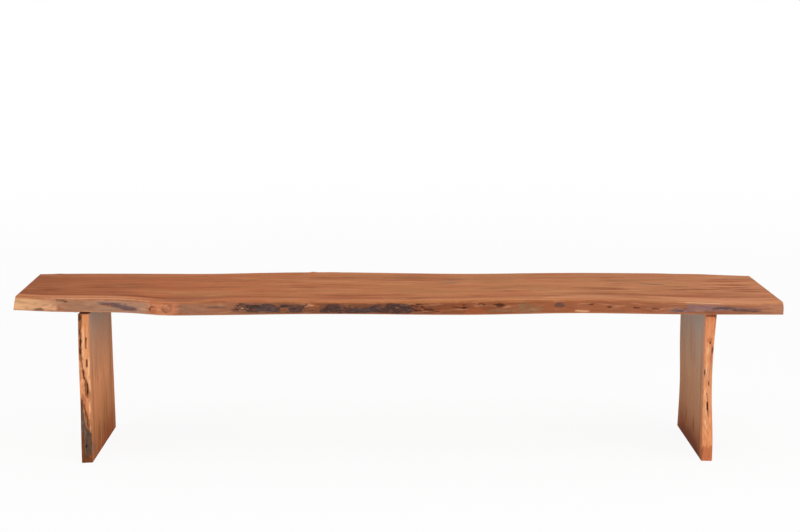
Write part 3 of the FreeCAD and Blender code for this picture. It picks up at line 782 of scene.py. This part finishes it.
def flake_tree():
    """Scatters flat scales over a slab wherever its bark mark is strong, lying along the grain."""
    tree = bpy.data.node_groups.new("scattered_bark", "GeometryNodeTree")
    tree.interface.new_socket("Slab", in_out="INPUT", socket_type="NodeSocketGeometry")
    for name, kind in (("Flakes per square metre", "Float"), ("Flake size", "Vector"), ("Seed", "Int"),
                       ("Finish", "Material")):
        tree.interface.new_socket(name, in_out="INPUT", socket_type="NodeSocket" + kind)
    tree.interface.new_socket("Flakes", in_out="OUTPUT", socket_type="NodeSocketGeometry")

    def add(kind, settings=None, **sockets):
        made = tree.nodes.new(kind)
        for setting, choice in (settings or {}).items():
            setattr(made, setting, choice)
        for socket, value in sockets.items():
            target = made.inputs[socket.replace("_", " ")]
            if isinstance(value, bpy.types.NodeSocket):
                tree.links.new(value, target)
            else:
                target.default_value = value
        return made.outputs

    given = add("NodeGroupInput")
    mark = add("GeometryNodeInputNamedAttribute", {"data_type": "FLOAT"}, Name="bark")
    sure = add("ShaderNodeMapRange", From_Min=.7, From_Max=1.0, Value=mark["Attribute"],
               To_Max=given["Flakes per square metre"])
    spots = add("GeometryNodeDistributePointsOnFaces", {"distribute_method": "RANDOM"},
                Mesh=given["Slab"], Density=sure[0], Seed=given["Seed"])
    scale = add("GeometryNodeMeshCylinder", Vertices=7, Radius=1.0, Depth=2.0)
    upended = add("GeometryNodeTransform", Geometry=scale["Mesh"], Rotation=(math.pi / 2, 0, 0))
    shaped = add("GeometryNodeTransform", Geometry=upended["Geometry"], Scale=given["Flake size"])
    spread = add("FunctionNodeRandomValue", {"data_type": "FLOAT_VECTOR"}, Seed=given["Seed"])
    spread[0].node.inputs[0].default_value = (.4, .6, .4)
    spread[0].node.inputs[1].default_value = (1.5, 1.1, 1.5)
    tilt = add("FunctionNodeRandomValue", {"data_type": "FLOAT_VECTOR"}, Seed=given["Seed"])
    tilt[0].node.inputs[0].default_value = (-.10, -.09, -.06)
    tilt[0].node.inputs[1].default_value = (.10, .09, .06)
    laid = add("GeometryNodeInstanceOnPoints", Points=spots["Points"], Instance=shaped["Geometry"],
               Rotation=tilt[0], Scale=spread[0])
    solid = add("GeometryNodeRealizeInstances", Geometry=laid["Instances"])
    dressed = add("GeometryNodeSetMaterial", Geometry=solid["Geometry"], Material=given["Finish"])
    result = tree.nodes.new("NodeGroupOutput")
    tree.links.new(dressed["Geometry"], result.inputs[0])
    return tree


FLAKE_TREE = flake_tree()
FLAKE_FINISH = bark_finish()
FLAKE_SIZE = (11 * MM, .4 * MM, 1.4 * MM)
FLAKES_PER_SQUARE_METRE = 12000
FLAKE_SEED = 7


def cling(name, slab, flake_size, per_square_metre, seed):
    """Flakes of bark on one slab, as a piece of their own."""
    piece = bpy.data.objects.new(name, slab.data)
    bpy.context.scene.collection.objects.link(piece)
    scatter = piece.modifiers.new("bark", "NODES")
    scatter.node_group = FLAKE_TREE
    values = {"Flakes per square metre": per_square_metre, "Flake size": flake_size, "Seed": seed,
              "Finish": FLAKE_FINISH}
    for socket in FLAKE_TREE.interface.items_tree:
        if socket.name in values:
            scatter[socket.identifier] = values[socket.name]
    graph = bpy.context.evaluated_depsgraph_get()
    flakes = bpy.data.meshes.new_from_object(piece.evaluated_get(graph))
    piece.modifiers.clear()
    piece.data = flakes
    flakes.name = name
    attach(piece, "root")
    return piece


cling("seat_bark_flakes", seat, FLAKE_SIZE, FLAKES_PER_SQUARE_METRE, FLAKE_SEED)

# Legs
# Two upright planks of the same wood with their grain standing, natural edges front and back, and foot
# and top sawn square. They are lacquered like the seat; the left one keeps weathered bark low on its
# front. The places of the marks on their front edges are measured up from the floor.
LEFT_BARK = [
    [(10, .4, .4), (18, .30, .80), (30, .28, .95), (60, .26, 1.0), (80, .22, 1.0), (92, .10, .72),
     (100, -.3, .50), (115, -.3, .40), (140, -.3, .34), (165, -.3, .20), (182, -.3, -.05)],
]
LEFT_DUSK = [
    [(92, .38, .38), (100, .28, .52), (118, .26, .48), (132, .3, .3)],
]
LEFT_SHADE = [
    [(0, -.3, 1.3), (8, -.3, 1.3), (18, -.3, .34), (50, -.3, .28), (84, -.3, .20), (94, -.3, -.1)],
    [(96, .7, .7), (104, .58, .80), (118, .54, .76), (132, .44, .66), (150, .28, .50), (165, .12, .34),
     (178, .02, .22), (186, .05, .05)],
    [(236, .46, .46), (242, .34, .54), (262, .26, .46), (285, .18, .34), (305, .10, .28),
     (318, .04, .30), (330, .02, .30), (345, .06, .32), (356, .08, .30), (370, -.1, .26),
     (392, -.3, .34), (420, -.3, .40)],
    [(268, .74, .74), (273, .66, .80), (290, .66, .80), (296, .72, .72)],
    [(182, .7, .7), (188, .56, .82), (205, .44, .82), (222, .42, .78), (236, .42, .62), (242, .5, .5)],
]
LEFT_KNOT = [
    (200, .70, 9, .06), (47, .45, 4, .09), (338, .22, 16, .06), (410, .14, 10, .14),
    (370, .10, 10, .06), (315, .16, 8, .07),
]
LEFT_RED = [
    (175, .30, 24, .22), (118, .86, 24, .10), (252, .12, 22, .10), (10, .85, 14, .3),
]
# Partly paler wood, partly painted highlights on the raised ridges and along the inner arris.
LEFT_PALE_AND_HIGHLIGHTS = [
    (345, .46, 40, .10), (300, .42, 34, .10), (285, .93, 26, .08), (258, .84, 14, .10),
    (244, .72, 9, .10), (225, .94, 26, .08), (232, .32, 8, .10), (140, .88, 44, .10),
]
LEFT_CRACKS = [
    (353, .70, 324, .69, 2.0), (291, .74, 274, .73, 1.1), (262, .34, 240, .46, 1.2),
    (224, .70, 192, .74, 1.2),
]
# Painted shadow: a dark band across the top of the right leg's front, where the seat's edge shades it.
RIGHT_SEAT_SHADOW = [[(409, .5, .5), (412, 0, 1), (420, 0, 1)]]
RIGHT_KNOT = [
    (334, .57, 4, .07), (251, .12, 9, .09), (217, .62, 8, .05), (311, .86, 11, .08),
    (155, .50, 12, .08),
]
RIGHT_RED = [
    (18, .5, 26, .9), (300, .78, 34, .14), (342, .55, 8, .3), (412, .9, 8, .12),
]
RIGHT_PALE = [
    (250, .34, 30, .14), (120, .35, 40, .14), (316, .36, 16, .14), (190, .25, 26, .12),
]
RIGHT_CRACKS = [
    (190, .40, 168, .54, .9), (164, .50, 140, .58, 1.5), (148, .44, 128, .56, .9),
    (138, .62, 122, .58, .8), (266, .14, 240, .12, .9),
]
RIGHT_SLOPES = [
    (127, .28, 90, .86, 3.0), (108, .05, 72, .66, 2.4), (80, .1, 52, .6, 2.0),
]
LEG_ARRIS = 2.5 * MM
leg_low, leg_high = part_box("left_leg_slab")
LEG_THICKNESS = leg_high.x - leg_low.x


def leg_relief(knots, splits, worn, bark, seed):
    """How far a leg's natural edges stand out, like the seat's."""

    def relief(side, place, row):
        rise = 1.5 * noise.noise(Vector((place * 16, row * 2, seed if side == "front" else seed + 9)))
        rise += .5 * noise.noise(Vector((place * 70, row * 7, seed)))
        if side == "front":
            rise -= 3.5 * line(splits, place, row, LEG_THICKNESS) + 4.0 * patch(knots, place, row)
            # Shade bands are cut in: worn grooves on the left leg, the band of painted shadow on the
            # right.
            rise -= 2.5 * bands(worn)(place, row)
            scales = 1.8 * noise.noise(Vector((place * 140, row * 8, 31))) - .8
            rise += bands(bark)(place, row) * scales
        return rise * MM
    return relief


def leg_rounding(place):
    return LEG_ARRIS, LEG_ARRIS


# Inner face tones up the height; the grey top is painted shade under the seat and painted reflection.
LEFT_FACE_TONES_AND_SHADING = [
    (0, (156, 80, 26)), (.12, (172, 102, 50)), (.25, (206, 134, 80)), (.5, (232, 158, 106)),
    (.8, (202, 154, 120)), (1, (176, 156, 140)),
]
RIGHT_FACE_TONES_AND_SHADING = [
    (0, (120, 50, 6)), (.12, (150, 90, 48)), (.25, (181, 131, 94)), (.5, (195, 153, 118)),
    (.8, (189, 166, 146)), (1, (184, 180, 172)),
]
LEFT_EDGE_TONES = [
    (0, (122, 74, 50)), (.2, (126, 82, 58)), (.3, (194, 122, 78)), (.6, (229, 158, 111)),
    (1, (210, 138, 89)),
]
RIGHT_EDGE_TONES = [
    (0, (221, 136, 90)), (.09, (221, 136, 90)), (.115, (225, 149, 99)), (.6, (219, 147, 103)),
    (1, (227, 145, 97)),
]
DARK_STROKE = (112, 66, 38)
FOOT_STROKE = (100, 44, 8)
LIGHT_STROKE = (206, 142, 98)
GREY_STAIN = (104, 92, 82)
LEFT_STREAKS = [
    (330, 120, 45, 14, LIGHT_STROKE, .6), (120, 270, 75, 12, LIGHT_STROKE, .6),
    (60, 120, 40, 12, DARK_STROKE, .6), (50, 190, 36, 12, DARK_STROKE, .6),
    (200, 330, 150, 14, DARK_STROKE, .35), (42, 6, 36, 36, GREY_STAIN, .55),
]
RIGHT_STREAKS = [
    (65, 130, 40, 14, DARK_STROKE, .7), (70, 240, 34, 12, DARK_STROKE, .6),
    (200, 30, 160, 10, LIGHT_STROKE, .3), (8, 180, 44, 260, FOOT_STROKE, .75),
]
LEGS = {
    "left": {
        "bark": LEFT_BARK, "dusk": LEFT_DUSK, "shade": LEFT_SHADE, "knots": LEFT_KNOT, "red": LEFT_RED,
        "pale": LEFT_PALE_AND_HIGHLIGHTS, "splits": LEFT_CRACKS, "slopes": [], "face": LEFT_FACE_TONES_AND_SHADING,
        "edge": LEFT_EDGE_TONES, "streaks": LEFT_STREAKS, "seed": 3,
    },
    "right": {
        "bark": [], "dusk": [], "shade": RIGHT_SEAT_SHADOW, "knots": RIGHT_KNOT, "red": RIGHT_RED,
        "pale": RIGHT_PALE, "splits": RIGHT_CRACKS, "slopes": RIGHT_SLOPES, "face": RIGHT_FACE_TONES_AND_SHADING,
        "edge": RIGHT_EDGE_TONES, "streaks": RIGHT_STREAKS, "seed": 41,
    },
}
LEG_PITH = (0, 100 * MM, 0)
leg_end = end_grain("leg_end_grain", LEG_PITH, heart=(120, 70, 46), sap=(170, 112, 78))
for side, own in LEGS.items():
    marks = {
        "bark": on_front(bands(own["bark"])),
        "dusk": on_front(bands(own["dusk"])),
        "shade": on_front(bands(own["shade"])),
        "knot": on_front(spots(own["knots"])),
        "red": on_front(spots(own["red"]), cracks(own["slopes"], LEG_THICKNESS, .6)),
        "pale": on_front(spots(own["pale"])),
        "crack": on_front(cracks(own["splits"], LEG_THICKNESS)),
    }
    node = f"{side}_leg_slab"
    relief = leg_relief(own["knots"], own["splits"], own["shade"], own["bark"], own["seed"])
    leg = grow_slab(f"{side}_leg_wood", node, upright=True, relief=relief, marks=marks,
                    rounding=leg_rounding)
    leg_wood = timber(f"{side}_leg_lacquered_wood", node, upright=True, face_tones=own["face"],
                      edge_tones=own["edge"], streaks=own["streaks"], contrast=.50,
                      pale_and_highlight_tone=(250, 194, 146), sapwood=30 * MM, dusk_tone=(132, 116, 104),
                      shade_tone=(108, 58, 30), bark_tones=((84, 66, 54), (132, 106, 88)), calm_from=.5)
    leg.data.materials.append(leg_wood)
    leg.data.materials.append(leg_end)
    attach(leg, "root")
    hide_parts(node)

# Mounting plates and fasteners
# Flat steel plates painted matt black, wood screws, M8 bolts and washers in zinc-plated steel, and brass
# inserts. All are bought parts; the plate is screwed to the leg's top and bolted up into the seat.


def metal(name, colour, worn, metallic, roughness):
    """Painted, plated or bare metal with faint mottling, fine scratches and worn high spots."""
    coat = Finish(name)
    place = coat.node("TexCoord", output="Object")
    mottle = coat.grain(place, 180, 4)
    drawn = coat.node("VectorMath", {"operation": "MULTIPLY"}, {0: place, 1: (60, 900, 900)})
    scratch = coat.grain(drawn, 1, 2)
    wear = coat.window(mottle, .60, .78) * .5
    bump = coat.node("Bump", None, {"Strength": .12, "Distance": .2 * MM, "Height": scratch + mottle})
    coat.lay(Base_Color=coat.mix(tint(*colour), tint(*worn), wear), Metallic=metallic,
             Roughness=roughness + .25 * (mottle - .5) + .1 * scratch, Normal=bump)
    return coat.material


plate_paint = metal("plate_black_paint", (38, 38, 39), worn=(70, 68, 66), metallic=0.0, roughness=.5)
zinc = metal("fastener_zinc_plate", (176, 178, 180), worn=(140, 138, 132), metallic=1.0, roughness=.32)
brass = metal("insert_brass", (196, 162, 92), worn=(160, 124, 70), metallic=1.0, roughness=.3)
METALS = {"mounting_plate": plate_paint, "plate_screws": zinc, "flat_washers": zinc,
          "spring_washers": zinc, "seat_bolts": zinc, "seat_inserts": brass}
for side in ("left", "right"):
    for kind, finish in METALS.items():
        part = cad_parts[f"{side}_{kind}"]
        part.data.materials.clear()
        part.data.materials.append(finish)

# Studio
# A pale floor that fades into white under soft even light from all round, with one broad lamp above and
# one at each side in front. The floor is a plain sheet; the lamps are softboxes that stand out of sight.
FLOOR_HALF = 40
FADE_START = 2
FADE_END = 8
floor_mesh = bpy.data.meshes.new("studio_floor")
floor_mesh.from_pydata([(-FLOOR_HALF, -FLOOR_HALF, 0), (FLOOR_HALF, -FLOOR_HALF, 0),
                        (FLOOR_HALF, FLOOR_HALF, 0), (-FLOOR_HALF, FLOOR_HALF, 0)], [], [(0, 1, 2, 3)])
floor = bpy.data.objects.new("studio_floor", floor_mesh)
bpy.context.scene.collection.objects.link(floor)
pale = Finish("studio_floor_white", Roughness=.9, Specular_IOR_Level=0)
pale.lay(Base_Color=(.85, .85, .85, 1))
seen = pale.node("LightPath", output="Is Camera Ray")
shown = pale.node("LightPath", output="Is Glossy Ray")
through_glass = pale.node("LightPath", output="Is Transmission Ray")
white = pale.node("Emission", None, {"Color": (1, 1, 1, 1), "Strength": 1})
lit = Value(pale, pale.shader.outputs[0])
BACKDROP_SHARE = .92
floor_place = pale.node("TexCoord", output="Object")
distance = pale.node("VectorMath", {"operation": "LENGTH"}, {0: floor_place}, output="Value")
backdrop = BACKDROP_SHARE + (1 - BACKDROP_SHARE) * pale.window(distance, FADE_START, FADE_END)
blend = pale.node("MixShader", None, {0: backdrop * (seen + shown + through_glass), 1: lit, 2: white})
pale.feed(pale.tree.nodes["Material Output"].inputs["Surface"], blend)
floor_mesh.materials.append(pale.material)


class Surround(Finish):
    """The light from all round the studio, which shows white where the floor ends."""

    def __init__(self, name):
        self.world = bpy.data.worlds.new(name)
        self.world.use_nodes = True
        self.tree = self.world.node_tree


LIGHT_LEVEL = .7
surround = Surround("studio_surround")
bpy.context.scene.world = surround.world
background = surround.tree.nodes["Background"].inputs
looks = [surround.node("LightPath", output=kind)
         for kind in ("Is Camera Ray", "Is Glossy Ray", "Is Transmission Ray")]
surround.feed(background["Strength"], LIGHT_LEVEL + (1 - LIGHT_LEVEL) * (looks[0] + looks[1] + looks[2]))
background["Color"].default_value = (1, 1, 1, 1)

LAMPS = [
    ("overhead_softbox", (.5, -1.2, 2.9), (3.2, 1.6), 24),
    ("left_softbox", (-3.6, -2.9, 1.1), (2.0, 1.8), 42),
    ("right_softbox", (3.6, -2.9, 1.1), (2.0, 1.8), 50),
]
LAMP_AIM = Vector((0, 0, .3))
for name, stand, (width, height), power in LAMPS:
    lamp_data = bpy.data.lights.new(name, "AREA")
    lamp_data.shape = "RECTANGLE"
    lamp_data.size = width
    lamp_data.size_y = height
    lamp_data.energy = power
    lamp = bpy.data.objects.new(name, lamp_data)
    lamp.location = stand
    lamp.rotation_euler = (LAMP_AIM - lamp.location).to_track_quat("-Z", "Y").to_euler()
    bpy.context.scene.collection.objects.link(lamp)

# Camera
# Where the photograph was taken from: at chest height, square to the seat's front and about 4.6 m away,
# with the camera looking a little down.
PHOTO_WIDTH = 800
FOCAL_PIXELS = 1640
CAMERA_PLACE = (-4.4 * MM, -4643.6 * MM, 1267.6 * MM)
CAMERA_DOWN = 9.167
CAMERA_TURN = -.281
camera_data = bpy.data.cameras.new("photo_camera")
camera_data.sensor_width = 36
camera_data.lens = FOCAL_PIXELS * camera_data.sensor_width / PHOTO_WIDTH
camera_data.clip_end = 200
camera = bpy.data.objects.new("photo_camera", camera_data)
camera.location = CAMERA_PLACE
camera.rotation_euler = (math.radians(90 - CAMERA_DOWN), 0, math.radians(CAMERA_TURN))
bpy.context.scene.collection.objects.link(camera)
bpy.context.scene.camera = camera
bpy.context.scene.view_settings.view_transform = "Standard"
